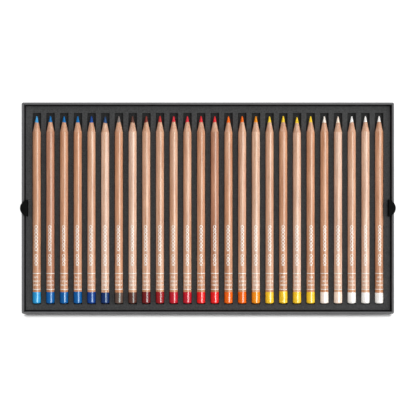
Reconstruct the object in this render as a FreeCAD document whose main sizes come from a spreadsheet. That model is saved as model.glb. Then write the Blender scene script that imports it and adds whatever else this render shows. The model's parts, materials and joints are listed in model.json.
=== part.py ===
import FreeCAD, Part
import math
import os

import Sketcher
from FreeCAD import Vector

# A shallow paper-wrapped board tray for a drawer of coloured pencils. A slotted foam bed on a plain
# foam sheet holds the pencils side by side, each half sunk, points to the back. Two rounded
# pull tabs stand in the side margins and fold out over the rim. Millimetres. The origin is the
# middle of the underside, X along the tray, Y towards the pencil points and Z up.

SIZES = (
    # Pencils
    ("pencils_per_side", 13, "on each side of the tray's middle"),
    ("pencil_length", 179.8, "newly sharpened"),
    ("pencil_diameter", 7.7, "varnished barrel"),
    ("pencil_sides", 18, "flats that stand for the round of a pencil"),
    ("lead_diameter", 3.6, "coloured core"),
    ("glue_gap", 0.03, "core to its bore"),
    ("point_length", 15.0, "shoulder to point"),
    ("point_flat", 1.0, "diameter of the blunt point"),
    ("sharpening_spread", 1.0, "most that a point is shorter"),
    ("dip_length", 11.2, "dipped end, mean"),
    ("dip_spread", 0.8, "most that a dip reaches higher or lower"),
    ("dip_thickness", 0.08, "lacquer on the barrel"),
    ("dip_gap", 0.02, "lacquer to the barrel in the model"),
    ("dome_wall", 0.1, "lacquer over the end of the casing"),
    ("dome_depth", 0.9, "bevelled part of the dipped end"),
    ("dome_width", 1.3, "bevelled part of the dipped end, towards the axis"),
    # Foam
    ("slot_clearance", 0.1, "each side of the dipped end"),
    ("slot_tip_gap", 3.0, "slot end beyond the longest point"),
    ("slot_end_gap", 0.7, "slot end beyond the dipped end"),
    ("rib_width", 5.03, "foam between two slots"),
    ("side_margin", 6.7, "foam outside the last slot"),
    ("front_margin", 5.7, "foam before the dipped ends"),
    ("back_margin", 6.6, "foam behind the points"),
    ("foam_base_thickness", 7.0, "plain sheet under the pencils"),
    ("foam_bed_thickness", 4.0, "slotted sheet on top"),
    ("foam_gap", 0.8, "foam to the lined wall"),
    ("pencil_float", 0.15, "dipped end above the plain foam"),
    # Tray
    ("floor_thickness", 2.0, "greyboard floor with its lining"),
    ("board_thickness", 1.6, "greyboard of the walls"),
    ("paper_thickness", 0.3, "covering paper"),
    ("rim_room", 1.45, "rim above the pencils"),
    ("corner_radius", 1.2, "upright outer corners, over the paper"),
    ("rim_radius", 0.8, "outer edge of the rim, over the paper"),
    # Pull tabs
    ("tab_width", 15.6, "flap and leg, along the rim"),
    ("tab_reach", 6.2, "flap beyond its fold line"),
    ("tab_thickness", 0.9, "stiff leatherette strip"),
    ("tab_inset", 1.8, "fold line inside the foam's edge"),
    ("tab_lift", 0.15, "flap above the rim"),
    ("tab_hinge_gap", 0.08, "flap to the leg at the fold"),
    ("tab_foot", 8.0, "glued foot on the floor"),
    ("tab_slit_gap", 0.2, "foam to the leg, all round"),
)

# Places worked out from the sizes
PLACES = (
    ("barrel_radius", "Sizes.pencil_diameter / 2"),
    ("lead_radius", "Sizes.lead_diameter / 2"),
    ("bore_radius", "lead_radius + Sizes.glue_gap"),
    ("flat_radius", "Sizes.point_flat / 2"),
    ("cup_radius", "barrel_radius + Sizes.dip_gap"),
    ("dip_radius", "cup_radius + Sizes.dip_thickness"),
    ("casing_end", "Sizes.dome_depth + Sizes.dome_wall"),
    ("point_slope", "Sizes.point_length / (barrel_radius - flat_radius)"),
    ("side_share", "cos(180 deg / Sizes.pencil_sides)"),
    ("slot_width", "2 * (dip_radius + Sizes.slot_clearance)"),
    ("slot_length", "Sizes.pencil_length + Sizes.slot_tip_gap + Sizes.slot_end_gap"),
    ("pencil_pitch", "slot_width + Sizes.rib_width"),
    ("row_length", "2 * Sizes.pencils_per_side * pencil_pitch - Sizes.rib_width"),
    ("foam_length", "row_length + 2 * Sizes.side_margin"),
    ("foam_width", "slot_length + Sizes.front_margin + Sizes.back_margin"),
    ("mouth_length", "foam_length + 2 * Sizes.foam_gap"),
    ("mouth_width", "foam_width + 2 * Sizes.foam_gap"),
    ("wall", "Sizes.board_thickness + 2 * Sizes.paper_thickness"),
    ("tray_length", "mouth_length + 2 * wall"),
    ("tray_width", "mouth_width + 2 * wall"),
    ("bed_bottom", "Sizes.floor_thickness + Sizes.foam_base_thickness"),
    ("axis_height", "bed_bottom + Sizes.pencil_float + dip_radius"),
    ("tray_height", "axis_height + dip_radius + Sizes.rim_room"),
    ("board_length", "tray_length - 2 * Sizes.paper_thickness"),
    ("board_width", "tray_width - 2 * Sizes.paper_thickness"),
    ("board_height", "tray_height - Sizes.paper_thickness - Sizes.floor_thickness"),
    ("board_corner", "Sizes.corner_radius - Sizes.paper_thickness"),
    ("board_edge", "Sizes.rim_radius - Sizes.paper_thickness"),
    ("slot_front", "Sizes.front_margin - foam_width / 2"),
    ("pencil_end", "slot_front + Sizes.slot_end_gap"),
    ("tab_crease", "foam_length / 2 - Sizes.tab_inset"),
    ("tab_half", "Sizes.tab_thickness / 2"),
    ("tab_depth", "Sizes.tab_reach + tab_half"),
    ("tab_arc", "(Sizes.tab_width ^ 2 / 4 + tab_depth ^ 2) / (2 * tab_depth)"),
    ("fold_height", "tray_height + Sizes.tab_lift + tab_half"),
    ("leg_height", "fold_height - tab_half - Sizes.tab_hinge_gap - Sizes.floor_thickness"),
    ("slit_width", "Sizes.tab_thickness + 2 * Sizes.tab_slit_gap"),
    ("slit_length", "Sizes.tab_width + 2 * Sizes.tab_slit_gap"),
    ("foot_pocket", "Sizes.tab_foot + 2 * Sizes.tab_slit_gap"),
    ("foot_room", "Sizes.tab_thickness + Sizes.tab_slit_gap"),
)

# How much shorter each pencil's point is, and how much further its dip reaches, left to right
sharpening_shares = (
    0.2, 0.1, 0.2, 0.2, 0.1, 0.8, 0.2, 0.1, 0.2, 0.0, 0.1, 0.1, 0.0,
    0.3, 0.4, 0.1, 0.3, 0.4, 0.0, 1.0, 0.3, 0.2, 0.5, 0.3, 0.1, 0.0,
)
dip_shares = (
    0.1, 0.1, 0.1, 0.4, 0.1, -0.5, -0.5, -0.2, 0.3, 0.4, 0.2, 0.2, 0.1,
    0.1, 0.1, 0.2, 0.2, 0.2, 1.0, 0.1, 0.1, 0.0, 0.0, -0.2, -0.4, -0.8,
)

doc = FreeCAD.newDocument("pencil_drawer_box")


def make_sheets():
    """The sheet of sizes, which a designer edits, and the sheet of places that follow from them."""
    sizes = doc.addObject("Spreadsheet::Sheet", "Sizes")
    for row, (name, number, note) in enumerate(SIZES, start=1):
        sizes.set(f"A{row}", name)
        sizes.set(f"B{row}", str(number))
        sizes.setAlias(f"B{row}", name)
        sizes.set(f"C{row}", note)
    places = doc.addObject("Spreadsheet::Sheet", "Places")
    for row, (name, formula) in enumerate(PLACES, start=1):
        places.set(f"A{row}", name)
        places.setAlias(f"B{row}", name)
        places.set(f"B{row}", "=" + formula)
    doc.recompute()
    return places


places = make_sheets()


def worth(formula):
    """What a formula of named sizes comes to now."""
    return float(places.evalExpression(str(formula)))


def place(thing, x="0", y="0", z="0"):
    """Binds where a thing stands."""
    for axis, formula in (("x", x), ("y", y), ("z", z)):
        thing.setExpression(f"Placement.Base.{axis}", formula)


def new_body(label):
    body = doc.addObject("PartDesign::Body", label)
    body.Label = label
    return body


def new_sketch(body, role, height="0"):
    """A sketch on one of the body's own origin planes, or parallel to it."""
    sketch = body.newObject("Sketcher::SketchObject", body.Name + "_sketch")
    plane = next(f for f in body.Origin.OriginFeatures if f.Role == role)
    sketch.AttachmentSupport = [(plane, "")]
    sketch.MapMode = "FlatFace"
    sketch.setExpression("AttachmentOffset.Base.z", height)
    return sketch


def hold(sketch, edge, end, x, y):
    """Ties the end of a line to its place, a pair of formulas."""
    for kind, formula in (("DistanceX", x), ("DistanceY", y)):
        index = sketch.addConstraint(Sketcher.Constraint(kind, -1, 1, edge, end, worth(formula)))
        name = f"{kind.lower()}_{edge}_{end}"
        sketch.renameConstraint(index, name)
        sketch.setExpression(f"Constraints.{name}", formula)


def draw_lines(sketch, corners, closed=True):
    """Straight lines through corners, each a pair of formulas, with every corner tied to its place."""
    points = [Vector(worth(x), worth(y), 0) for x, y in corners]
    ends = points[1:] + points[:1] if closed else points[1:]
    for start, end in zip(points, ends):
        sketch.addGeometry(Part.LineSegment(start, end))
    for edge in range(len(ends)):
        following = (edge + 1) % len(ends)
        if closed or following:
            sketch.addConstraint(Sketcher.Constraint("Coincident", edge, 2, following, 1))
    for edge, (x, y) in enumerate(corners[: len(ends)]):
        hold(sketch, edge, 1, x, y)
    if not closed:
        hold(sketch, len(ends) - 1, 2, *corners[-1])
    return len(ends)


def draw_rectangle(sketch, left, right, front, back):
    draw_lines(sketch, ((left, front), (right, front), (right, back), (left, back)))


def pad(body, sketch, length, symmetric=False):
    feature = body.newObject("PartDesign::Pad", body.Name + "_pad")
    feature.Profile = sketch
    feature.SideType = "Symmetric" if symmetric else "One side"
    feature.setExpression("Length", length)
    doc.recompute()
    return feature


def cut_up(body, sketch, depth=None):
    """A pocket that runs up from its sketch, by a depth or right through, and is sure to have cut."""
    before = body.Shape.Volume
    feature = body.newObject("PartDesign::Pocket", body.Name + "_pocket")
    feature.Profile = sketch
    feature.Reversed = True
    if depth is None:
        feature.Type = "ThroughAll"
    else:
        feature.Type = "Length"
        feature.setExpression("Length", depth)
    doc.recompute()
    if body.Shape.Volume >= before:
        raise RuntimeError(f"{feature.Name} cuts nothing")
    return feature


def round_edges(body, base, radius, chosen):
    """Fillets the edges of a feature whose middle passes a test."""
    names = []
    for number, edge in enumerate(base.Shape.Edges, start=1):
        middle = edge.valueAt((edge.FirstParameter + edge.LastParameter) / 2)
        if chosen(middle):
            names.append(f"Edge{number}")
    feature = body.newObject("PartDesign::Fillet", body.Name + "_fillet")
    feature.Base = (base, names)
    feature.setExpression("Radius", radius)
    doc.recompute()
    return feature


def compound(label, members):
    group = doc.addObject("Part::Compound", label)
    group.Label = label
    group.Links = members
    return group


def mirror_left(source, label):
    """The same piece on the other side of the tray's middle."""
    mirrored = doc.addObject("Part::Mirroring", label)
    mirrored.Label = label
    mirrored.Source = source
    mirrored.Normal = Vector(1, 0, 0)
    return mirrored


def near(a, b):
    return abs(a - b) < Part.Precision.confusion()


# Tray: a floor board, four wall boards that stand on it, and one covering of paper


def make_floor():
    """The floor board, with its lining, as large as the walls' outer faces."""
    body = new_body("floor_board")
    sketch = new_sketch(body, "XY_Plane")
    half_length, half_width = "Places.board_length / 2", "Places.board_width / 2"
    draw_rectangle(sketch, "-" + half_length, half_length, "-" + half_width, half_width)
    slab = pad(body, sketch, "Sizes.floor_thickness")
    middle = worth("Sizes.floor_thickness / 2")
    round_edges(body, slab, "Places.board_corner", lambda point: near(point.z, middle))
    return body


def make_long_wall(label, side):
    """A front or back wall board, which runs past the short ones and so has the rounded corners."""
    body = new_body(label)
    sketch = new_sketch(body, "XY_Plane", "Sizes.floor_thickness")
    outer = f"{side} * Places.board_width / 2"
    inner = f"{side} * (Places.board_width / 2 - Sizes.board_thickness)"
    half_length = "Places.board_length / 2"
    draw_rectangle(sketch, "-" + half_length, half_length, inner, outer)
    board = pad(body, sketch, "Places.board_height")
    middle = worth("Sizes.floor_thickness + Places.board_height / 2")
    face = worth(outer)
    rounded = round_edges(
        body,
        board,
        "Places.board_corner",
        lambda point: near(point.z, middle) and near(point.y, face),
    )
    top, back_face = worth("Sizes.floor_thickness + Places.board_height"), worth(inner)
    round_edges(
        body,
        rounded,
        "Places.board_edge",
        lambda point: near(point.z, top) and not near(point.y, back_face),
    )
    return body


def make_short_wall(label, side):
    """A side wall board, which butts against the long ones."""
    body = new_body(label)
    sketch = new_sketch(body, "XY_Plane", "Sizes.floor_thickness")
    outer = f"{side} * Places.board_length / 2"
    inner = f"{side} * (Places.board_length / 2 - Sizes.board_thickness)"
    half_width = "(Places.board_width / 2 - Sizes.board_thickness)"
    draw_rectangle(sketch, inner, outer, "-" + half_width, half_width)
    board = pad(body, sketch, "Places.board_height")
    top, face = worth("Sizes.floor_thickness + Places.board_height"), worth(outer)
    round_edges(
        body, board, "Places.board_edge", lambda point: near(point.z, top) and near(point.x, face)
    )
    return body


def make_wrap(boards):
    """The covering paper: up the outside, over the rim and down the inside, all that the boards leave."""
    body = new_body("wrap_block")
    sketch = new_sketch(body, "XY_Plane")
    half_length, half_width = "Places.tray_length / 2", "Places.tray_width / 2"
    draw_rectangle(sketch, "-" + half_length, half_length, "-" + half_width, half_width)
    block = pad(body, sketch, "Places.tray_height")
    middle, top = worth("Places.tray_height / 2"), worth("Places.tray_height")
    corners = round_edges(body, block, "Sizes.corner_radius", lambda point: near(point.z, middle))
    round_edges(body, corners, "Sizes.rim_radius", lambda point: near(point.z, top))
    mouth = new_sketch(body, "XY_Plane")
    half_length, half_width = "Places.mouth_length / 2", "Places.mouth_width / 2"
    draw_rectangle(mouth, "-" + half_length, half_length, "-" + half_width, half_width)
    hollow = cut_up(body, mouth)
    mouth_x, mouth_y = worth("Places.mouth_length / 2"), worth("Places.mouth_width / 2")
    round_edges(
        body,
        hollow,
        "Sizes.paper_thickness",
        lambda point: near(point.z, top)
        and (near(abs(point.x), mouth_x) or near(abs(point.y), mouth_y)),
    )
    wrap = doc.addObject("Part::Cut", "side_wrap")
    wrap.Label = "side_wrap"
    wrap.Base = body
    wrap.Tool = compound("all_boards", boards)
    return wrap


# Foam: a plain sheet on the floor and a slotted one on it


def cut_slit(body):
    """The slit that a pull tab's leg comes up through."""
    sketch = new_sketch(body, "XY_Plane")
    draw_rectangle(
        sketch,
        "Places.tab_crease - Places.slit_width / 2",
        "Places.tab_crease + Places.slit_width / 2",
        "-Places.slit_length / 2",
        "Places.slit_length / 2",
    )
    cut_up(body, sketch)


def make_foam_half(name, thickness):
    """Half of a foam sheet, to the right of the tray's middle."""
    body = new_body(name)
    sketch = new_sketch(body, "XY_Plane")
    draw_rectangle(
        sketch, "0", "Places.foam_length / 2", "-Places.foam_width / 2", "Places.foam_width / 2"
    )
    pad(body, sketch, thickness)
    cut_slit(body)
    return body


def make_foam_base():
    """The plain sheet, in one piece, with pockets under it for the tabs' glued feet."""
    body = make_foam_half("foam_base_half", "Sizes.foam_base_thickness")
    sketch = new_sketch(body, "XY_Plane")
    outer = "(Places.tab_crease + Places.slit_width / 2)"
    draw_rectangle(
        sketch,
        f"{outer} - Places.foot_pocket",
        outer,
        "-Places.slit_length / 2",
        "Places.slit_length / 2",
    )
    cut_up(body, sketch, "Places.foot_room")
    sheet = doc.addObject("Part::MultiFuse", "foam_base")
    sheet.Label = "foam_base"
    sheet.Shapes = [body, mirror_left(body, "foam_base_mirror")]
    sheet.Refine = True
    place(sheet, z="Sizes.floor_thickness")
    return sheet


def make_foam_bed():
    """The slotted sheet: two die-cut halves that meet on the middle rib, with a row of slots each."""
    body = make_foam_half("foam_bed_half", "Sizes.foam_bed_thickness")
    sketch = new_sketch(body, "XY_Plane")
    draw_rectangle(
        sketch,
        "(Places.pencil_pitch - Places.slot_width) / 2",
        "(Places.pencil_pitch + Places.slot_width) / 2",
        "Places.slot_front",
        "Places.slot_front + Places.slot_length",
    )
    slot = cut_up(body, sketch)
    before = body.Shape.Volume
    row = body.newObject("PartDesign::LinearPattern", "foam_bed_row")
    row.Originals = [slot]
    row.Direction = (sketch, ["H_Axis"])
    row.Mode = "Spacing"
    row.setExpression("Offset", "Places.pencil_pitch")
    row.setExpression("Occurrences", "Sizes.pencils_per_side")
    body.Tip = row
    doc.recompute()
    if body.Shape.Volume >= before:
        raise RuntimeError("the row of slots cuts nothing")
    bed = compound("foam_bed", [body, mirror_left(body, "foam_bed_mirror")])
    place(bed, z="Places.bed_bottom")
    return bed


# Pull tabs: a leg that stands on a glued foot, and a rounded flap that folds out over the rim


def make_anchors():
    """Both L-shaped legs, each with its foot turned in towards the pencils."""
    body = new_body("tab_leg")
    sketch = new_sketch(body, "XZ_Plane")
    toe = "Places.tab_crease + Places.tab_half - Sizes.tab_foot"
    inner, outer = "Places.tab_crease - Places.tab_half", "Places.tab_crease + Places.tab_half"
    draw_lines(
        sketch,
        (
            (toe, "0"),
            (outer, "0"),
            (outer, "Places.leg_height"),
            (inner, "Places.leg_height"),
            (inner, "Sizes.tab_thickness"),
            (toe, "Sizes.tab_thickness"),
        ),
    )
    pad(body, sketch, "Sizes.tab_width", symmetric=True)
    anchors = compound("tab_anchors", [body, mirror_left(body, "tab_leg_mirror")])
    place(anchors, z="Sizes.floor_thickness")
    return anchors


def make_flap():
    """A flap about its fold line: a strip with a rolled root, trimmed to an arc over its full width."""
    body = new_body("flap_strip")
    sketch = new_sketch(body, "XZ_Plane")
    half, reach = "Places.tab_half", "Sizes.tab_reach"
    corners = (("0", "-" + half), (reach, "-" + half), (reach, half), ("0", half))
    edges = draw_lines(sketch, corners, closed=False)
    root = Part.Circle(Vector(0, 0, 0), Vector(0, 0, 1), worth(half))
    arc = sketch.addGeometry(Part.ArcOfCircle(root, math.pi / 2, 3 * math.pi / 2))
    sketch.addConstraint(Sketcher.Constraint("Coincident", arc, 1, edges - 1, 2))
    sketch.addConstraint(Sketcher.Constraint("Coincident", arc, 2, 0, 1))
    sketch.addConstraint(Sketcher.Constraint("PointOnObject", arc, 3, -2))
    pad(body, sketch, "Sizes.tab_width", symmetric=True)
    disc = doc.addObject("Part::Cylinder", "flap_outline")
    disc.setExpression("Radius", "Places.tab_arc")
    disc.setExpression("Height", "Sizes.tab_thickness")
    place(disc, x=f"{reach} - Places.tab_arc", z="-" + half)
    flap = doc.addObject("Part::Common", "flap")
    flap.Base = body
    flap.Tool = disc
    return flap


def make_tabs():
    """The right flap, lying out over the rim, and the left one, its mirror image."""
    right = compound("pull_tab_right", [make_flap()])
    place(right, x="Places.tab_crease", z="Places.fold_height")
    return [right, mirror_left(right, "pull_tab_left")]


# Pencils: casing, core and dipped end, each a regular prism about the pencil's own axis. The three
# share the axis and the flats, so their gaps are even all round. The axis is built upright.


def add_prism(body, kind, radius, start, length):
    """A prism that is added to a body or cut from it, by its radius over the corners."""
    prism = body.newObject(f"PartDesign::{kind}Prism", body.Name + "_prism")
    prism.setExpression("Polygon", "Sizes.pencil_sides")
    prism.setExpression("Circumradius", radius)
    prism.setExpression("Height", length)
    place(prism, z=start)
    return prism


def taper(body, prism, height, across, along):
    """Cuts one end of a prism back to a smaller outline, by a depth across the flats and one along."""
    prism.recompute()
    end = worth(height)
    names = []
    for number, face in enumerate(prism.Shape.Faces, start=1):
        if near(face.CenterOfGravity.z, end):
            names.append(f"Face{number}")
    feature = body.newObject("PartDesign::Chamfer", body.Name + "_taper")
    feature.Base = (prism, names)
    feature.ChamferType = "Two distances"
    feature.setExpression("Size", along)
    feature.setExpression("Size2", f"({across}) * Places.side_share")


def make_casing(number, tip):
    """The wooden casing: sharpened to the point, then bored for its core, which leaves a feather edge."""
    body = new_body(f"pencil_{number:02d}_casing")
    barrel = add_prism(
        body, "Additive", "Places.barrel_radius", "Places.casing_end", f"{tip} - Places.casing_end"
    )
    taper(body, barrel, tip, "Places.barrel_radius - Places.flat_radius", "Sizes.point_length")
    add_prism(body, "Subtractive", "Places.bore_radius", "0", tip)
    return body


def make_lead(number, tip):
    """The coloured core, which ends in the blunt point."""
    body = new_body(f"pencil_{number:02d}_lead")
    core = add_prism(
        body, "Additive", "Places.lead_radius", "Places.casing_end", f"{tip} - Places.casing_end"
    )
    across = "Places.lead_radius - Places.flat_radius"
    taper(body, core, tip, across, f"({across}) * Places.point_slope")
    return body


def make_cap(number, dip):
    """The dipped end: a thin cup of lacquer, closed over casing and core and bevelled for its dome."""
    body = new_body(f"pencil_{number:02d}_cap")
    block = add_prism(body, "Additive", "Places.dip_radius", "0", dip)
    taper(body, block, "0", "Sizes.dome_width", "Sizes.dome_depth")
    add_prism(body, "Subtractive", "Places.cup_radius", "Places.casing_end", dip)
    return body


def make_pencil(number, sharpening_share, dip_share):
    """One pencil in its slot, as its casing and as its core with the dipped end of the same colour."""
    tip = f"(Sizes.pencil_length - {sharpening_share} * Sizes.sharpening_spread)"
    dip = f"(Sizes.dip_length + {dip_share} * Sizes.dip_spread)"
    across = f"({number} - (2 * Sizes.pencils_per_side + 1) / 2) * Places.pencil_pitch"
    casing = make_casing(number, tip)
    colour = compound(
        f"pencil_{number:02d}_lead_and_cap", [make_lead(number, tip), make_cap(number, dip)]
    )
    for piece in (casing, colour):
        piece.Placement.Rotation = FreeCAD.Rotation(Vector(0, 0, 1), Vector(0, 1, 0))
        place(piece, across, "Places.pencil_end", "Places.axis_height")
    return [casing, colour]


def write_steps(nodes):
    """Checks every object and writes each node's shape to its own file."""
    doc.recompute()
    for thing in doc.Objects:
        if "Invalid" in thing.State or "Error" in thing.State:
            raise RuntimeError(f"{thing.Label}: {thing.State}")
    os.makedirs("parts", exist_ok=True)
    for node in nodes:
        shape = node.Shape
        if shape.isNull() or not shape.isValid() or not shape.Solids:
            raise RuntimeError(f"{node.Label} has no valid solid")
        shape.exportStep(f"parts/{node.Label}.step")
        print(f"{node.Label}: {len(shape.Solids)} solid, {shape.Volume:.1f} mm3")


floor_board = make_floor()
walls = [make_long_wall("back_board", 1), make_long_wall("front_board", -1)]
walls += [make_short_wall("right_board", 1), make_short_wall("left_board", -1)]
wall_boards = compound("wall_boards", walls)
nodes = [floor_board, wall_boards, make_wrap([floor_board, wall_boards])]
nodes += [make_foam_base(), make_foam_bed(), make_anchors()] + make_tabs()
count = round(worth("2 * Sizes.pencils_per_side"))
for index in range(count):
    shares = sharpening_shares[index % len(sharpening_shares)], dip_shares[index % len(dip_shares)]
    nodes += make_pencil(index + 1, *shares)
write_steps(nodes)
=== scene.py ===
import json
import math
import random

import bpy
from mathutils import Matrix, Vector, noise

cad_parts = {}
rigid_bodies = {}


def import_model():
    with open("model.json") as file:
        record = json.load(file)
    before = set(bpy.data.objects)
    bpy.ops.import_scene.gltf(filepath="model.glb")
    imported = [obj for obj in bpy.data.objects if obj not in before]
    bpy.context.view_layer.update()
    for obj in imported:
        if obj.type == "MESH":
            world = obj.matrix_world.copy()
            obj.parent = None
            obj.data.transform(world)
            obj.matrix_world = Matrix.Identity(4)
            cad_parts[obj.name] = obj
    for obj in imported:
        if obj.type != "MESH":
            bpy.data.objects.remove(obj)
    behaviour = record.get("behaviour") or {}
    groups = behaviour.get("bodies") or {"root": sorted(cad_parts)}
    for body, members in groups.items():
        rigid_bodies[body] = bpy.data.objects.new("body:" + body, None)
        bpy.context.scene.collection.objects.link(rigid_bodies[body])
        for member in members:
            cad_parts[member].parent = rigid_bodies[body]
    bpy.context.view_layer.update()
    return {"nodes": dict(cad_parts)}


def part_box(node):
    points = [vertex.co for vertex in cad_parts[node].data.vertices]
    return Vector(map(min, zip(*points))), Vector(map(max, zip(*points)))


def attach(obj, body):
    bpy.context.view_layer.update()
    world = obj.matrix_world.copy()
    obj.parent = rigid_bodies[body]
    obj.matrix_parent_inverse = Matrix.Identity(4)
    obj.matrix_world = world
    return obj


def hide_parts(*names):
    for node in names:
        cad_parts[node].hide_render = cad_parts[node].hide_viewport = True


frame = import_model()
NODES = frame["nodes"]
MM = 0.001

# The camera looks straight down on the tray, as the photograph is taken
CAMERA_HEIGHT = 1.2185
CAMERA_SHIFT = (0.0001, 0.00015)
CAMERA_LENS = 108.8
CAMERA_SENSOR = 36.0
CAMERA_CLIP = (0.05, 20.0)

# Soft boxes: place, width and length, power in watts
STRIP = ((1.10, 0.0, 2.40), (1.10, 0.80), 15.0)
GLEAM = ((1.10, 0.0, 2.40), (1.25, 1.60), 370.0)
SIDE = ((1.90, 0.25, 1.00), (1.0, 1.4), 20.5)
GLEAM_COLOUR = (0.78, 1.0, 1.0)
AMBIENT = 0.65

# The wash lights the floor alone, so that only the tray's own shadow shows there
WASH = 9.6
WASH_ANGLE = math.radians(12)
WASH_TILT = math.radians(13)
FLOOR_REACH = 6.0
FLOOR_LEVEL = -0.2 * MM
FLOOR_ALBEDO = 0.30

# Places on the tray, from its middle, where its materials change and where painted shade, painted
# light and a painted highlight lie, and the covering paper
TRAY_FRONT = -100 * MM
TRAY_HEIGHT = 18.5 * MM
FOAM_HALF_WIDTH = 178 * MM
RIBS_MIDDLE, RIBS_HALF_LENGTH = -8 * MM, 92 * MM
WALL = 2.2 * MM
PAPER = 0.28 * MM
RIM_OUTSIDE, RIM_INSIDE = 0.9 * MM, 0.85 * MM
TRAY_CORNER, LEAST_CORNER = 1.8 * MM, 0.12 * MM
CORNER_STEPS = 8

# A pencil's sizes, as the solids have them
BARREL = 3.85 * MM
POINT = 15.0 * MM
FLAT = 0.5 * MM
BORE = 1.76 * MM
CORE = 1.73 * MM
DOME = 1.3 * MM
STEP = 0.18 * MM  # the varnish ends a little proud of the sharpened wood
SLOPE = POINT / (BARREL - STEP - FLAT)
THIN_EDGE = 0.03 * MM
CAP_OUTSIDE, CAP_INSIDE = BARREL + 0.08 * MM, BARREL + 0.02 * MM

# Rings of a pencil's pieces. Rings close beside a bend keep its shading crisp.
BARREL_SHARES = (0.25, 0.5, 0.75)
CONE_SHARES = (0.14, 0.35, 0.6, 0.82)
CORE_SHARES = (0.2, 0.45, 0.7, 0.88)
# In millimetres: how far out from the full radius, and how far past the edge or lip
VARNISH_END = ((0.0, -0.10), (-0.015, 0.0), (-STEP / MM, 0.04))
DIP_LIP = ((-0.03, 0.015), (0.004, -0.10), (0.0, -0.6))
REAR_BEVEL = 0.12 * MM
DOME_STEPS, DOME_QUARTER = 10, 9.6  # the last ring stays just off the axis

# Points round a pencil
ROUND = 48
ANGLES = [2 * math.pi * step / ROUND for step in range(ROUND)]

# Print: distances from the rear and round the barrel, in millimetres
RING_LEVELS = (13.9, 29.1)
BROKEN_ROWS = (
    (18.1, ((-3.4, -2.2), (-1.7, 1.8), (2.5, 3.9))),
    (21.6, ((-3.4, -2.2), (-1.7, 1.8), (2.5, 3.9))),
    (25.4, ((-2.2, -0.5), (0.1, 1.7))),
)
DASH_LENGTHS, DASH_GAP = (0.5, 0.9), 0.26
DASH_OFFSET, ROW_JITTER = 0.52, 0.12
UPRIGHT_REACH, UPRIGHT_CHANCE = 0.5, 0.6
TWISTS = ((37.2, 3), (51.0, 7))  # start, and how many eyes
EYE, EYE_STEPS = 3.45, 8
TWIST_BAR_BEFORE = 0.3

# Print: widths of the lines, and the twist's place, in metres
RING_WIDTH = 0.66 * MM
DASH_WIDTH = 0.42 * MM
UPRIGHT_WIDTH = 0.36 * MM
TWIST_WIDTH = 0.54 * MM
TWIST_BAR_WIDTH = 0.52 * MM
EYE_BAR_WIDTH = 0.50 * MM
TWIST_MIDDLE = -0.16 * MM
TWIST_REACH = 1.30 * MM
EYE_BAR_REACH = 0.5 * MM
LONGEST_CHORD = 0.45 * MM
PRINT_UNDER, PRINT_OVER = 0.010 * MM, 0.014 * MM

# Colours of the dipped ends, as they show on screen
PIGMENTS = {
    "sky_blue": (42, 155, 215),
    "cobalt": (5, 94, 165),
    "deep_blue": (18, 66, 144),
    "navy": (18, 50, 107),
    "warm_grey": (100, 79, 69),
    "umber": (95, 57, 47),
    "maroon": (121, 28, 30),
    "crimson": (160, 27, 34),
    "carmine": (197, 26, 45),
    "scarlet": (235, 30, 30),
    "orange": (243, 104, 5),
    "amber": (249, 147, 18),
    "yellow": (255, 204, 44),
    "blush": (254, 237, 226),
    "peach": (254, 226, 206),
    "white": (255, 249, 243),
}
# Cores that look unlike their dipped ends
CORE_TONES = {
    "warm_grey": (126, 116, 112),
    "navy": (40, 74, 122),
    "sky_blue": (72, 158, 214),
    "cobalt": (14, 106, 172),
    "maroon": (128, 46, 38),
    "crimson": (186, 48, 44),
    "carmine": (214, 42, 58),
    "scarlet": (222, 40, 48),
}
# Light and dark grain of the woods
WOOD_TONES = {
    "deep": ((211, 157, 126), (180, 125, 98)),
    "warm": ((222, 169, 134), (196, 140, 107)),
    "plain": ((229, 184, 153), (205, 154, 125)),
    "pale": ((239, 202, 177), (215, 173, 148)),
}
BARE_SHARE = 0.7  # how far sharpened wood goes toward the plain tone

# The 26 pencils from left to right
ORDER = (
    ["sky_blue"] + ["cobalt"] * 3 + ["deep_blue", "navy", "warm_grey", "umber", "maroon", "crimson"]
    + ["carmine"] * 2 + ["scarlet"] * 2 + ["orange"] * 2 + ["amber"] + ["yellow"] * 4
    + ["blush", "peach"] + ["white"] * 3
)
WOOD_ORDER = (
    "warm", "deep", "warm", "warm", "plain", "pale", "warm", "pale", "plain", "plain", "plain",
    "plain", "warm", "deep", "warm", "plain", "pale", "plain", "warm", "pale", "warm", "warm",
    "pale", "plain", "pale", "warm",
)


# Colours, made linear


def srgb(red, green, blue):
    """A colour given as it shows on screen, made linear."""
    out = []
    for value in (red, green, blue):
        v = value / 255
        out.append(v / 12.92 if v <= 0.04045 else ((v + 0.055) / 1.055) ** 2.4)
    return (*out, 1.0)


def grey(value):
    return (value, value, value, 1.0)


def tone(colour, factor):
    return (*(min(1.0, c * factor) for c in colour[:3]), 1.0)


def toward(first, second, share):
    return tuple(a + (b - a) * share for a, b in zip(first, second))


# Materials


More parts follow.
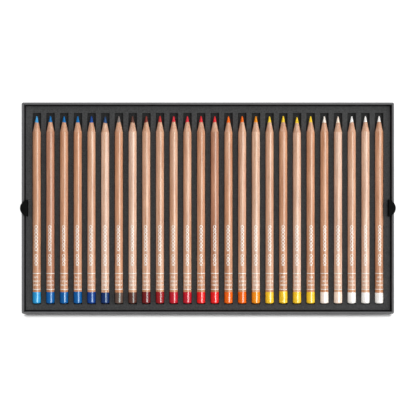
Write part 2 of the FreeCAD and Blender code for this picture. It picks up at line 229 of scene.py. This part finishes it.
class Paint:
    """A material built from nodes, with the pattern in the object's own coordinates."""

    def __init__(self, name, **sockets):
        self.material = bpy.data.materials.new(name)
        self.material.use_nodes = True
        self.tree = self.material.node_tree
        self.shader = self.tree.nodes["Principled BSDF"]
        self.place = self.node("ShaderNodeTexCoord").outputs["Object"]
        for socket, value in sockets.items():
            self.shader.inputs[socket.replace("_", " ")].default_value = value

    def node(self, kind, **settings):
        made = self.tree.nodes.new(kind)
        for key, value in settings.items():
            setattr(made, key, value)
        return made

    def link(self, source, target):
        self.tree.links.new(source, target)

    def stretch(self, scale, shift=(0, 0, 0)):
        """The pattern's coordinates: scale is how many features a metre holds along X, Y and Z."""
        mapping = self.node("ShaderNodeMapping")
        self.link(self.place, mapping.inputs["Vector"])
        mapping.inputs["Location"].default_value = shift
        mapping.inputs["Scale"].default_value = scale
        return mapping.outputs["Vector"]

    def noise(self, scale, detail, rough, shift=(0, 0, 0)):
        made = self.node("ShaderNodeTexNoise")
        self.link(self.stretch(scale, shift), made.inputs["Vector"])
        made.inputs["Scale"].default_value = 1.0
        made.inputs["Detail"].default_value = detail
        made.inputs["Roughness"].default_value = rough
        return made.outputs["Fac"]

    def ramp(self, value, *stops):
        made = self.node("ShaderNodeValToRGB")
        self.link(value, made.inputs["Fac"])
        elements = made.color_ramp.elements
        while len(elements) < len(stops):
            elements.new(0.5)
        for element, (at, colour) in zip(elements, stops):
            element.position = at
            element.color = colour
        return made.outputs["Color"]

    def mix(self, factor, first, second, blend):
        made = self.node("ShaderNodeMix", data_type="RGBA", blend_type=blend)
        for socket, value in (("Factor", factor), ("A", first), ("B", second)):
            target = next(s for s in made.inputs if s.name == socket and s.enabled)
            if isinstance(value, bpy.types.NodeSocket):
                self.link(value, target)
            else:
                target.default_value = value
        return next(s for s in made.outputs if s.enabled)

    def times(self, first, second):
        return self.mix(1.0, first, second, "MULTIPLY")

    def reach(self, axis, middle, span):
        """How far a point lies from the middle along one axis: 0 there, 1 a span away."""
        split = self.node("ShaderNodeSeparateXYZ")
        self.link(self.place, split.inputs["Vector"])
        offset = self.node("ShaderNodeMath", operation="SUBTRACT")
        self.link(split.outputs[axis], offset.inputs[0])
        offset.inputs[1].default_value = middle
        size = self.node("ShaderNodeMath", operation="ABSOLUTE")
        self.link(offset.outputs["Value"], size.inputs[0])
        share = self.node("ShaderNodeMath", operation="DIVIDE")
        self.link(size.outputs["Value"], share.inputs[0])
        share.inputs[1].default_value = span
        return share.outputs["Value"]

    def bump(self, height, strength, distance):
        """Raises the skin by a pattern, on top of the bumps given before."""
        made = self.node("ShaderNodeBump")
        made.inputs["Strength"].default_value = strength
        made.inputs["Distance"].default_value = distance
        self.link(height, made.inputs["Height"])
        previous = self.shader.inputs["Normal"]
        if previous.is_linked:
            self.link(previous.links[0].from_socket, made.inputs["Normal"])
        self.link(made.outputs["Normal"], previous)

    def colour(self, value):
        self.link(value, self.shader.inputs["Base Color"])


def wood(name, light, dark, seed, varnished):
    """Straight-grained pencil wood: long fibres, short darker pores and a slow drift of tone."""
    sockets = {"Roughness": 0.62, "Specular_IOR_Level": 0.14}
    if varnished:
        sockets = {"Roughness": 0.28, "Specular_IOR_Level": 0.09}
    paint = Paint(name, **sockets)
    drift = paint.noise((420, 26, 300), 2.0, 0.5, (seed, seed * 2, 0))
    fibre = paint.noise((2600, 60, 2600), 3.0, 0.6, (seed, 0, seed))
    pore = paint.noise((5200, 320, 5200), 2.0, 0.6, (0, seed, seed))
    band = paint.noise((950, 9, 950), 1.0, 0.5, (0, 0, seed * 3))
    base = paint.ramp(drift, (0.30, dark), (0.70, light))
    streak = paint.ramp(fibre, (0.32, grey(0.80)), (0.55, grey(1.0)), (0.75, grey(1.06)))
    fleck = paint.ramp(pore, (0.30, (0.70, 0.56, 0.46, 1)), (0.44, grey(1.0)))
    warmth = paint.ramp(
        band, (0.36, (0.95, 0.86, 0.76, 1)), (0.50, grey(1.0)), (0.66, (1.03, 1.08, 1.14, 1))
    )
    colour = paint.times(paint.times(paint.times(base, streak), fleck), warmth)
    if varnished:
        # the varnish lies thicker and warmer beside the dip
        from_front = paint.reach("Y", TRAY_FRONT, 100 * MM)
        rear = paint.ramp(from_front, (0.226, (0.93, 0.82, 0.68, 1)), (0.234, grey(1.0)))
        colour = paint.times(colour, rear)
    paint.colour(colour)
    paint.bump(fibre, 0.10 if varnished else 0.35, 0.05 * MM)
    if not varnished:
        cuts = paint.noise((300, 3400, 300), 2.0, 0.6)
        paint.bump(cuts, 0.3, 0.04 * MM)
    return paint.material


def lacquer(name, colour):
    """The dipped end: glossy pigment lacquer with a hardly uneven skin."""
    paint = Paint(name, Roughness=0.22, Specular_IOR_Level=0.15)
    drift = paint.noise((500, 350, 500), 3.0, 0.6)
    paint.colour(paint.ramp(drift, (0.3, tone(colour, 0.92)), (0.7, tone(colour, 1.05))))
    paint.bump(paint.noise((900, 120, 900), 1.0, 0.4), 0.006, 0.03 * MM)
    return paint.material


def core(name, colour):
    """The bare coloured core: matte and waxy, turned by the sharpener."""
    paint = Paint(name, Roughness=0.42, Specular_IOR_Level=0.08)
    drift = paint.noise((1400, 700, 1400), 3.0, 0.6)
    paint.colour(paint.ramp(drift, (0.3, tone(colour, 0.92)), (0.7, tone(colour, 1.16))))
    paint.bump(paint.noise((500, 4200, 500), 2.0, 0.6), 0.35, 0.04 * MM)
    return paint.material


def foam(name, painted_shade_factor, ribbed):
    """Fine closed-cell foam, charcoal, with tiny cells and a soft mottle, darkened by the painted
    shade factor. A ribbed sheet has painted shade where its narrow ribs lie between the barrels,
    and painted light that makes it paler at both ends."""
    paint = Paint(name, Roughness=0.95, Specular_IOR_Level=0.15)
    cells = paint.noise((3000, 3000, 3000), 2.0, 0.7)
    grain = paint.noise((900, 900, 900), 3.0, 0.6)
    tones = [tone(srgb(value, value + 0.6, value + 0.9), painted_shade_factor) for value in (53, 68, 86)]
    base = paint.ramp(cells, (0.30, tones[0]), (0.50, tones[1]), (0.74, tones[2]))
    mottle = paint.ramp(grain, (0.30, grey(0.66)), (0.70, grey(1.36)))
    base = paint.times(base, mottle)
    if ribbed:
        # painted shade: the ribs between the barrels are darkened, where the barrels shade them
        sideways = paint.reach("X", 0.0, FOAM_HALF_WIDTH)
        lengthways = paint.reach("Y", RIBS_MIDDLE, RIBS_HALF_LENGTH)
        across = paint.ramp(sideways, (0.925, grey(1)), (0.945, grey(0)))
        along = paint.ramp(lengthways, (0.84, grey(1)), (0.93, grey(0)))
        painted_rib_shade = paint.times(base, grey(0.80))
        base = paint.mix(paint.times(across, along), base, painted_rib_shade, "MIX")
        # painted light: both ends of the sheet are made paler, where the walls shade them
        ends = paint.ramp(sideways, (0.940, grey(1)), (0.955, grey(1.22)))
        base = paint.times(base, ends)
    paint.colour(base)
    paint.bump(cells, 0.5, 0.10 * MM)
    paint.bump(grain, 0.3, 0.12 * MM)
    return paint.material


def wrap_paper():
    """Dark grey covering paper with long fibres and a faint sheen, paler along the rim: partly
    wear, partly a painted highlight.
    """
    paint = Paint("wrap_paper_grey", Roughness=0.50, Specular_IOR_Level=0.35)
    fibre = paint.noise((1800, 1800, 1800), 4.0, 0.65)
    cloud = paint.noise((90, 90, 90), 3.0, 0.6)
    base = paint.ramp(fibre, (0.30, srgb(58, 58, 59)), (0.70, srgb(76, 76, 77)))
    shade = paint.ramp(cloud, (0.35, grey(0.94)), (0.65, grey(1.05)))
    height = paint.reach("Z", 0.0, TRAY_HEIGHT)
    # the rim's crest is painted paler: partly wear, partly a painted highlight where light catches
    # the rounded rim
    rim_wear_and_painted_highlight = paint.ramp(height, (0.984, grey(1.0)), (1.0, grey(2.5)))
    paint.colour(paint.times(paint.times(base, shade), rim_wear_and_painted_highlight))
    paint.bump(fibre, 0.35, 0.05 * MM)
    return paint.material


def greyboard():
    """Pressed board with short grey and brown fibres."""
    paint = Paint("greyboard_fibre", Roughness=0.85, Specular_IOR_Level=0.25)
    fibre = paint.noise((1500, 700, 1500), 4.0, 0.7)
    fleck = paint.noise((3600, 3600, 3600), 2.0, 0.6)
    base = paint.ramp(fibre, (0.30, srgb(112, 108, 102)), (0.70, srgb(146, 141, 133)))
    speck = paint.ramp(fleck, (0.28, grey(0.62)), (0.40, grey(1.0)))
    paint.colour(paint.times(base, speck))
    paint.bump(fibre, 0.5, 0.08 * MM)
    return paint.material


def lining_paper():
    """The plain black paper that covers the underside."""
    paint = Paint("lining_paper", Roughness=0.62, Specular_IOR_Level=0.4)
    fibre = paint.noise((1500, 1500, 1500), 4.0, 0.65)
    paint.colour(paint.ramp(fibre, (0.30, srgb(40, 41, 42)), (0.70, srgb(56, 57, 58))))
    paint.bump(fibre, 0.4, 0.05 * MM)
    return paint.material


def leatherette():
    """Black leather-look strip with a fine pebble grain."""
    paint = Paint("leatherette_black", Roughness=0.60, Specular_IOR_Level=0.04)
    cells = paint.node("ShaderNodeTexVoronoi", feature="SMOOTH_F1")
    paint.link(paint.stretch((1500, 1500, 1500)), cells.inputs["Vector"])
    cells.inputs["Scale"].default_value = 1.0
    cloud = paint.noise((400, 400, 400), 3.0, 0.6)
    paint.colour(paint.ramp(cloud, (0.30, srgb(9, 10, 10)), (0.70, srgb(17, 18, 18))))
    paint.bump(cells.outputs["Distance"], 0.45, 0.08 * MM)
    return paint.material


def foil():
    """White stamped print, a little worn."""
    paint = Paint("foil_white", Roughness=0.36, Specular_IOR_Level=0.5)
    wear = paint.noise((2600, 2600, 2600), 2.0, 0.6)
    paint.colour(paint.ramp(wear, (0.28, srgb(226, 214, 202)), (0.42, srgb(247, 242, 236))))
    paint.bump(wear, 0.15, 0.02 * MM)
    return paint.material


# Meshes


def mesh_piece(name, points, faces, materials, slots=None, smooth=True):
    """A mesh object. Slots holds one material's index for each face."""
    mesh = bpy.data.meshes.new(name)
    mesh.from_pydata([tuple(p) for p in points], [], faces)
    mesh.validate()
    for material in materials:
        mesh.materials.append(material)
    if slots:
        mesh.polygons.foreach_set("material_index", slots)
    mesh.polygons.foreach_set("use_smooth", [smooth] * len(mesh.polygons))
    piece = bpy.data.objects.new(name, mesh)
    bpy.context.scene.collection.objects.link(piece)
    return piece


def split_sharp(piece, degrees):
    """Keeps hard corners hard under smooth shading."""
    limit = math.radians(degrees)
    mesh = piece.data
    faces_at = {}
    for polygon in mesh.polygons:
        for key in polygon.edge_keys:
            faces_at.setdefault(key, []).append(polygon.normal)
    for edge in mesh.edges:
        normals = faces_at.get(edge.key, [])
        edge.use_edge_sharp = len(normals) == 2 and normals[0].angle(normals[1], 0.0) > limit


def turned(name, axis, rings, materials, loop, ring_slots=None):
    """A solid turned about a pencil's axis. A ring is a radius and a distance along, each a number
    or one for every angle. A loop joins the last ring to the first; otherwise both ends close."""
    x, z = axis
    points, faces, slots = [], [], []
    for radius, along in rings:
        radii = radius if isinstance(radius, list) else [radius] * ROUND
        places = along if isinstance(along, list) else [along] * ROUND
        for angle, r, y in zip(ANGLES, radii, places):
            points.append((x + r * math.cos(angle), y, z + r * math.sin(angle)))
    count = len(rings)
    for ring in range(count if loop else count - 1):
        below, above = ring * ROUND, (ring + 1) % count * ROUND
        for step in range(ROUND):
            after = (step + 1) % ROUND
            faces.append((below + step, above + step, above + after, below + after))
            slots.append(ring_slots[ring] if ring_slots else 0)
    if not loop:
        faces.append(tuple(range(ROUND)))
        faces.append(tuple(reversed(range((count - 1) * ROUND, count * ROUND))))
        slots += [0, 0]
    return mesh_piece(name, points, faces, materials, slots)


def wavy(level, waves, rng):
    """A level that wanders round the pencil: waves is (times round, height) pairs."""
    parts = [(times, height, rng.uniform(0, 2 * math.pi)) for times, height in waves]
    return [
        level + sum(height * math.sin(times * angle + phase) for times, height, phase in parts)
        for angle in ANGLES
    ]


def moved(values, by):
    return [value + by for value in values]


def soften(piece, width, segments):
    """Rounds the hard edges of a piece, as cut foam has."""
    bevel = piece.modifiers.new("soft_edges", "BEVEL")
    bevel.width = width
    bevel.segments = segments
    bevel.limit_method = "ANGLE"
    bevel.angle_limit = math.radians(50)
    bevel.use_clamp_overlap = True
    bevel.harden_normals = False


def spread(values, gap):
    """Values with more between them, so that no step is longer than gap."""
    out = []
    for a, b in zip(values, values[1:]):
        parts = max(1, math.ceil((b - a) / gap))
        out += [a + (b - a) * k / parts for k in range(parts)]
    return out + [values[-1]]


# Print: a line is its width and its points, each a distance round the barrel and one along it


def strokes(name, axis, radius, lines, material, turn):
    """Thin printed lines that lie on a barrel, turned round it by an angle."""
    x, z = axis
    inner, outer = radius - PRINT_UNDER, radius + PRINT_OVER
    points, faces = [], []
    for width, path in lines:
        first = len(points)
        for step, (round_it, along) in enumerate(path):
            before, after = path[max(0, step - 1)], path[min(len(path) - 1, step + 1)]
            ahead = Vector((after[0] - before[0], after[1] - before[1])).normalized()
            for r in (inner, outer):
                for side in (-width / 2, width / 2):
                    angle = math.pi / 2 - (round_it - ahead.y * side) / radius - turn
                    points.append(
                        (x + r * math.cos(angle), along + ahead.x * side, z + r * math.sin(angle))
                    )
        for step in range(len(path) - 1):
            a, b = first + step * 4, first + step * 4 + 4
            faces += [
                (a + 2, a + 3, b + 3, b + 2), (a + 1, a, b, b + 1),
                (a, a + 2, b + 2, b), (a + 3, a + 1, b + 1, b + 3),
            ]
        last = first + (len(path) - 1) * 4
        faces += [(first, first + 1, first + 3, first + 2), (last + 1, last, last + 2, last + 3)]
    return mesh_piece(name, points, faces, [material])


def straight(width, start, end, along):
    """A printed line straight round the barrel."""
    steps = max(2, math.ceil((end - start) / LONGEST_CHORD))
    return width, [(start + (end - start) * step / steps, along) for step in range(steps + 1)]


def broken_row(rear, level, first, last, rng):
    """Short double dashes, some with an upright, as small print looks from afar."""
    lines = []
    while first < last:
        dash = min(rng.uniform(*DASH_LENGTHS), last - first)
        middle = rear + (level + rng.uniform(-ROW_JITTER, ROW_JITTER)) * MM
        for shift in (-DASH_OFFSET, DASH_OFFSET):
            end = (first + dash) * MM
            lines.append(straight(DASH_WIDTH, first * MM, end, middle + shift * MM))
        if rng.random() < UPRIGHT_CHANCE:
            ends = (middle - UPRIGHT_REACH * MM, middle + UPRIGHT_REACH * MM)
            lines.append((UPRIGHT_WIDTH, [(first * MM, end) for end in ends]))
        first += dash + DASH_GAP
    return lines


def running_twist(rear, start, crossings):
    """Two strands that cross again and again and leave a row of open eyes, every second one
    barred, behind a bar across the start."""
    lines = []
    for side in (-1, 1):
        path = []
        for step in range(crossings * EYE_STEPS + 1):
            swing = side * math.sin(math.pi * step / EYE_STEPS)
            along = rear + start * MM + EYE * MM * step / EYE_STEPS
            path.append((TWIST_MIDDLE + TWIST_REACH * swing, along))
        lines.append((TWIST_WIDTH, path))
    for eye in range(1, crossings, 2):
        centre = rear + (start + (eye + 0.5) * EYE) * MM
        left, right = TWIST_MIDDLE - EYE_BAR_REACH, TWIST_MIDDLE + EYE_BAR_REACH
        lines.append(straight(EYE_BAR_WIDTH, left, right, centre))
    left, right = TWIST_MIDDLE - TWIST_REACH, TWIST_MIDDLE + TWIST_REACH
    bar = rear + (start - TWIST_BAR_BEFORE) * MM
    lines.append(straight(TWIST_BAR_WIDTH, left, right, bar))
    return lines


def print_lines(rear, rng):
    """Two rings, three broken rows and a plain running twist, with no lettering."""
    half_turn = math.pi * BARREL * 0.9999
    lines = []
    for level in RING_LEVELS:
        lines.append(straight(RING_WIDTH, -half_turn, half_turn, rear + level * MM))
    for level, spans in BROKEN_ROWS:
        for first, last in spans:
            lines += broken_row(rear, level, first, last, rng)
    for start, crossings in TWISTS:
        lines += running_twist(rear, start, crossings)
    return lines


# Pencils


woods = {}
for seed, (kind, colours) in enumerate(WOOD_TONES.items(), start=3):
    light, dark = (srgb(*colour) for colour in colours)
    plain_light, plain_dark = (srgb(*colour) for colour in WOOD_TONES["plain"])
    bare_light = toward(light, plain_light, BARE_SHARE)
    bare_dark = toward(dark, plain_dark, BARE_SHARE)
    woods[kind] = [
        wood(f"wood_{kind}_varnished", light, dark, seed, True),
        wood(f"wood_{kind}_bare", bare_light, bare_dark, seed, False),
    ]
lacquers, cores = {}, {}
for name, colour in PIGMENTS.items():
    lacquers[name] = lacquer(f"lacquer_{name}", srgb(*colour))
for name, colour in PIGMENTS.items():
    cores[name] = core(f"core_{name}", srgb(*CORE_TONES.get(name, colour)))
foil_white = foil()


def measured(number):
    """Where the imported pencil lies: its axis, both ends, and where its dip stops."""
    stem = f"pencil_{number:02d}"
    low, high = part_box(stem + "_lead_and_cap")
    x, z = (low.x + high.x) / 2, (low.z + high.z) / 2
    corners = [v.co for v in NODES[stem + "_lead_and_cap"].data.vertices]
    dip = max(co.y for co in corners if math.hypot(co.x - x, co.z - z) > BARREL)
    return stem, (x, z), low.y, high.y, dip


def cone_radius(y, tip):
    return FLAT + (tip - y) / SLOPE


def on_cone(along, tip):
    """A ring that lies on the sharpened cone."""
    return [cone_radius(y, tip) for y in along], along


def bore_mouth(seam, tip):
    """The bore's radius where the sharpened cone opens it."""
    return [min(BORE, cone_radius(y, tip) - THIN_EDGE) for y in seam]


def sharpened(tip, rng):
    """Where bare wood meets the core, and where the varnish meets bare wood."""
    ragged = rng.choice((0.10, 0.18, 0.35)) * MM
    slant = rng.uniform(0.1, 0.5) * MM
    nominal = tip - (BORE - FLAT) * SLOPE
    seam = wavy(nominal, ((1, slant), (3, ragged * 0.6), (7, ragged * 0.35)), rng)
    edge = wavy(tip - POINT, ((2, 0.16 * MM), (5, 0.12 * MM)), rng)
    return seam, edge


def build_casing(stem, axis, start, tip, seam, edge, skins):
    """Wood: round the outside from the rear to the seam, then back down its bore."""
    shoulder = tip - POINT
    rings = [(BARREL - REAR_BEVEL, start), (BARREL, start + REAR_BEVEL)]
    rings += [(BARREL, start + (shoulder - start) * share) for share in BARREL_SHARES]
    rings.append((BARREL, shoulder - 0.8 * MM))
    rings += [(BARREL + out * MM, moved(edge, past * MM)) for out, past in VARNISH_END]
    varnished = len(rings) - 2
    for share in CONE_SHARES:
        rings.append(on_cone([e + (s - e) * share for e, s in zip(edge, seam)], tip))
    rings += [
        on_cone(seam, tip),
        (bore_mouth(seam, tip), moved(seam, -0.02 * MM)),
        (BORE, moved(seam, -0.7 * MM)),
        (BORE, start),
    ]
    slots = [0 if ring < varnished else 1 for ring in range(len(rings))]
    casing = turned(stem + "_wood", axis, rings, skins, True, slots)
    split_sharp(casing, 9)
    return casing


def build_core(stem, axis, start, tip, seam, skin, rng):
    """Core: inside the casing to the seam, then the pointed end."""
    radii, along = on_cone(seam, tip)
    rings = [
        (CORE, start),
        (CORE, moved(seam, -0.7 * MM)),
        (moved(bore_mouth(seam, tip), -THIN_EDGE), moved(seam, -0.01 * MM)),
        (moved(radii, 0.005 * MM), moved(along, 0.01 * MM)),
    ]
    blunt = tip - 0.2 * MM
    for share in CORE_SHARES:
        radii, along = on_cone([s + (blunt - s) * share for s in seam], tip)
        wear = 1 + rng.uniform(-0.02, 0.02)
        rings.append(([r * wear for r in radii], along))
    rings += [
        (cone_radius(blunt, tip), blunt),
        (FLAT * 0.86, tip - 0.07 * MM),
        (FLAT * 0.45, tip),
    ]
    lead = turned(stem + "_core", axis, rings, [skin], False)
    split_sharp(lead, 60)
    return lead


def build_dip(stem, axis, rear, start, dip, skin, rng):
    """Dipped end: a cup with a soft lip and a domed end."""
    lip = wavy(dip, ((1, 0.05 * MM), (4, 0.04 * MM)), rng)
    rings = [(CAP_INSIDE, start - 0.05 * MM), (CAP_INSIDE, lip)]
    rings += [(CAP_OUTSIDE + out * MM, moved(lip, past * MM)) for out, past in DIP_LIP]
    rings += [(CAP_OUTSIDE, rear + DOME + before) for before in (0.5 * MM, REAR_BEVEL)]
    for step in range(DOME_STEPS):
        turn = math.pi / 2 * step / DOME_QUARTER
        rings.append((CAP_OUTSIDE * math.cos(turn), rear + DOME * (1 - math.sin(turn))))
    dipped = turned(stem + "_dip", axis, rings, [skin], False)
    split_sharp(dipped, 50)
    return dipped


def build_pencil(number, colour, wood_kind):
    stem, axis, rear, tip, dip = measured(number)
    rng = random.Random(number * 17 + 5)
    start = rear + DOME + 0.1 * MM
    seam, edge = sharpened(tip, rng)

    casing = build_casing(stem, axis, start, tip, seam, edge, woods[wood_kind])
    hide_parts(stem + "_casing")
    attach(casing, stem)

    lead = build_core(stem, axis, start, tip, seam, cores[colour], rng)
    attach(lead, stem)

    dipped = build_dip(stem, axis, rear, start, dip, lacquers[colour], rng)
    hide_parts(stem + "_lead_and_cap")
    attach(dipped, stem)

    spin = rng.uniform(-0.10, 0.10)
    stamp = strokes(stem + "_print", axis, BARREL, print_lines(rear, rng), foil_white, spin)
    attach(stamp, stem)


for number, (colour, wood_kind) in enumerate(zip(ORDER, WOOD_ORDER), start=1):
    build_pencil(number, colour, wood_kind)


# Foam


def cells_piece(name, xs, ys, holes, low, high, material, wobble):
    """A sheet of foam from a grid of cells, open where a hole is, with softly wandering cuts."""
    columns, rows = len(xs) - 1, len(ys) - 1
    full = [
        [not holes((xs[i] + xs[i + 1]) / 2, (ys[j] + ys[j + 1]) / 2) for j in range(rows)]
        for i in range(columns)
    ]
    index, points, faces = {}, [], []

    def is_full(i, j):
        return 0 <= i < columns and 0 <= j < rows and full[i][j]

    def corner(i, j, top):
        key = (i, j, top)
        if key not in index:
            x, y = xs[i], ys[j]
            around = [is_full(a, b) for a in (i - 1, i) for b in (j - 1, j)]
            if 0 < i < columns and 0 < j < rows and not all(around):
                x += wobble * noise.noise(Vector((x * 90, y * 140, 3.7)))
            index[key] = len(points)
            points.append((x, y, high if top else low))
        return index[key]

    for i in range(columns):
        for j in range(rows):
            if not full[i][j]:
                continue
            ring = ((i, j), (i + 1, j), (i + 1, j + 1), (i, j + 1))
            faces.append(tuple(corner(a, b, True) for a, b in ring))
            faces.append(tuple(corner(a, b, False) for a, b in reversed(ring)))
            sides = (
                (ring[0], ring[1], i, j - 1), (ring[1], ring[2], i + 1, j),
                (ring[2], ring[3], i, j + 1), (ring[3], ring[0], i - 1, j),
            )
            for a, b, beside_i, beside_j in sides:
                if not is_full(beside_i, beside_j):
                    upper = (corner(*b, True), corner(*a, True))
                    faces.append((*upper, corner(*a, False), corner(*b, False)))
    piece = mesh_piece(name, points, faces, [material])
    split_sharp(piece, 40)
    return piece


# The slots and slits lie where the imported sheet's own corners are
low_bed, high_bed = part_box("foam_bed")
low_base, high_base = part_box("foam_base")
bed_corners = NODES["foam_bed"].data.vertices
all_x = sorted({round(v.co.x, 5) for v in bed_corners})
all_y = sorted({round(v.co.y, 5) for v in bed_corners})
slot_front = next(y for y in all_y if y > low_bed.y + 1 * MM)
slot_back = next(y for y in reversed(all_y) if y < high_bed.y - 1 * MM)
slot_x = [x for x in all_x if 1 * MM < abs(x) < 169 * MM]
slots = [(slot_x[k], slot_x[k + 1]) for k in range(0, len(slot_x), 2)]
slit_y = [y for y in all_y if abs(y) < 12 * MM]
slit_x = [x for x in all_x if 169.5 * MM < abs(x) < high_bed.x - 1 * MM]
slits = [(slit_x[0], slit_x[1]), (slit_x[2], slit_x[3])]


def in_slit(x, y):
    return slit_y[0] < y < slit_y[-1] and any(a < x < b for a, b in slits)


def in_hole(x, y):
    in_slot = slot_front < y < slot_back and any(a < x < b for a, b in slots)
    return in_slot or in_slit(x, y)


bed_x = sorted([low_bed.x, high_bed.x] + slot_x + slit_x)
bed_y = sorted([low_bed.y, slot_front, slit_y[0], slit_y[-1], slot_back, high_bed.y])
bed = cells_piece(
    "foam_bed_sheet", bed_x, spread(bed_y, 6 * MM), in_hole, low_bed.z, high_bed.z,
    foam("foam_slotted", 1.0, True), 0.05 * MM,
)
soften(bed, 0.42 * MM, 3)
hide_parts("foam_bed")
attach(bed, "tray")

base_x = sorted([low_base.x, high_base.x] + slit_x)
base_y = sorted([low_base.y, slit_y[0], slit_y[-1], high_base.y])
# The base sheet shows only on the slot floors, so its foam is darkened there as painted shade for
# the deep slots
base = cells_piece(
    "foam_base_sheet", spread(base_x, 60 * MM), spread(base_y, 40 * MM), in_slit,
    low_base.z, high_base.z, foam("foam_plain_painted_shade", 0.70, False), 0.0,
)
soften(base, 0.3 * MM, 2)
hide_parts("foam_base")
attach(base, "tray")


# Tray and tabs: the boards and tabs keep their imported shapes


def rounded_loop(half_x, half_y, radius, steps):
    """Points round a rectangle with rounded corners."""
    loop = []
    for quarter, (sx, sy) in enumerate(((1, 1), (-1, 1), (-1, -1), (1, -1))):
        for step in range(steps + 1):
            angle = math.pi / 2 * (quarter + step / steps)
            loop.append((
                sx * (half_x - radius) + radius * math.cos(angle),
                sy * (half_y - radius) + radius * math.sin(angle),
            ))
    return loop


def arc(centre, radius, start, end, steps):
    """Points on an arc of the paper's section, from one angle to another, in degrees."""
    turns = [math.radians(start + (end - start) * step / steps) for step in range(steps + 1)]
    return [(centre[0] + radius * math.cos(t), centre[1] + radius * math.sin(t)) for t in turns]


def cover_walls():
    """The covering paper as one folded strip: up the outside, round over the rim, down the inside.
    Its section is drawn from the wall's inner face outward."""
    low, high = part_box("side_wrap")
    outer_bend = (WALL - RIM_OUTSIDE, high.z - RIM_OUTSIDE)
    inner_bend = (RIM_INSIDE, high.z - RIM_INSIDE)
    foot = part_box("floor_board")[1].z
    section = [(WALL, low.z), (WALL, low.z + 6 * MM)]
    section += arc(outer_bend, RIM_OUTSIDE, 0, 90, 6)
    section += arc(inner_bend, RIM_INSIDE, 90, 180, 6)
    section += [(0.0, foot), (PAPER, foot)]
    section += arc(inner_bend, RIM_INSIDE - PAPER, 180, 90, 4)
    section += arc(outer_bend, RIM_OUTSIDE - PAPER, 90, 0, 4)
    section += [(WALL - PAPER, low.z)]
    points = []
    for outward, z in section:
        inset = WALL - outward
        radius = max(LEAST_CORNER, TRAY_CORNER - inset)
        loop = rounded_loop(high.x - inset, high.y - inset, radius, CORNER_STEPS)
        points += [(x, y, z) for x, y in loop]
    around = 4 * (CORNER_STEPS + 1)
    faces = []
    for ring in range(len(section)):
        below, above = ring * around, (ring + 1) % len(section) * around
        for step in range(around):
            after = (step + 1) % around
            faces.append((below + step, below + after, above + after, above + step))
    piece = mesh_piece("wrap_cover", points, faces, [wrap_paper()])
    split_sharp(piece, 35)
    return piece


def dress(node, material):
    mesh = NODES[node].data
    mesh.materials.clear()
    mesh.materials.append(material)


wrap = cover_walls()
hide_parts("side_wrap")
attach(wrap, "tray")
dress("wall_boards", greyboard())
dress("floor_board", lining_paper())
black = leatherette()
for node in ("tab_anchors", "pull_tab_left", "pull_tab_right"):
    dress(node, black)


# Floor, light and camera


def in_scene(name, data):
    made = bpy.data.objects.new(name, data)
    bpy.context.scene.collection.objects.link(made)
    return made


def plain_floor():
    """A pale floor under the tray."""
    reach = FLOOR_REACH
    corners = [
        (x, y, FLOOR_LEVEL)
        for x, y in ((-reach, -reach), (reach, -reach), (reach, reach), (-reach, reach))
    ]
    paint = Paint("floor_white", Roughness=0.9, Specular_IOR_Level=0.0)
    paint.shader.inputs["Base Color"].default_value = grey(FLOOR_ALBEDO)
    floor = mesh_piece("floor", corners, [(0, 1, 2, 3)], [paint.material], smooth=False)
    return floor


def soft_lamp(name, place, size, power):
    """A soft box that faces the tray, with its second side along Y."""
    data = bpy.data.lights.new(name, "AREA")
    data.shape = "RECTANGLE"
    data.size, data.size_y = size
    data.energy = power
    away = Vector(place).normalized()
    across = Vector((0, 1, 0)).cross(away).normalized()
    facing = Matrix((across, away.cross(across), away)).transposed().to_4x4()
    lamp = in_scene(name, data)
    lamp.matrix_world = Matrix.Translation(place) @ facing
    return lamp


def light_only(lamp, name, pieces):
    """Lets a lamp light nothing but these pieces."""
    group = bpy.data.collections.new(name)
    for piece in pieces:
        group.objects.link(piece)
    lamp.light_linking.receiver_collection = group


def studio_world():
    """Even soft light all round, and plain white where the camera sees past the floor."""
    world = bpy.data.worlds.new("studio")
    bpy.context.scene.world = world
    world.use_nodes = True
    tree = world.node_tree
    ambient = tree.nodes["Background"]
    backdrop = tree.nodes.new("ShaderNodeBackground")
    for shader, strength in ((ambient, AMBIENT), (backdrop, 1.0)):
        shader.inputs["Color"].default_value = grey(1.0)
        shader.inputs["Strength"].default_value = strength
    path = tree.nodes.new("ShaderNodeLightPath")
    blend = tree.nodes.new("ShaderNodeMixShader")
    tree.links.new(path.outputs["Is Camera Ray"], blend.inputs["Fac"])
    tree.links.new(ambient.outputs["Background"], blend.inputs[1])
    tree.links.new(backdrop.outputs["Background"], blend.inputs[2])
    tree.links.new(blend.outputs["Shader"], tree.nodes["World Output"].inputs["Surface"])


floor = plain_floor()
soft_lamp("strip", *STRIP)

# The gleam gives the pencils their streaks and lights nothing else
gleam = soft_lamp("gleam", *GLEAM)
gleam.data.color = GLEAM_COLOUR
gleam.visible_diffuse = False
pencils = [
    piece for piece in bpy.context.scene.objects
    if piece.name.startswith("pencil_") and piece.type == "MESH"
]
light_only(gleam, "polished", pencils)

soft_lamp("side", *SIDE)

wash_data = bpy.data.lights.new("floor_wash", "SUN")
wash_data.energy = WASH
wash_data.angle = WASH_ANGLE
wash = in_scene("floor_wash", wash_data)
wash.rotation_euler = (-WASH_TILT, 0, 0)
light_only(wash, "lit_by_wash", [floor])

studio_world()

camera_data = bpy.data.cameras.new("camera")
camera_data.sensor_width = CAMERA_SENSOR
camera_data.lens = CAMERA_LENS
camera_data.clip_start, camera_data.clip_end = CAMERA_CLIP
camera = in_scene("camera", camera_data)
camera.location = (*CAMERA_SHIFT, CAMERA_HEIGHT)
bpy.context.scene.camera = camera
bpy.context.scene.view_settings.view_transform = "Standard"
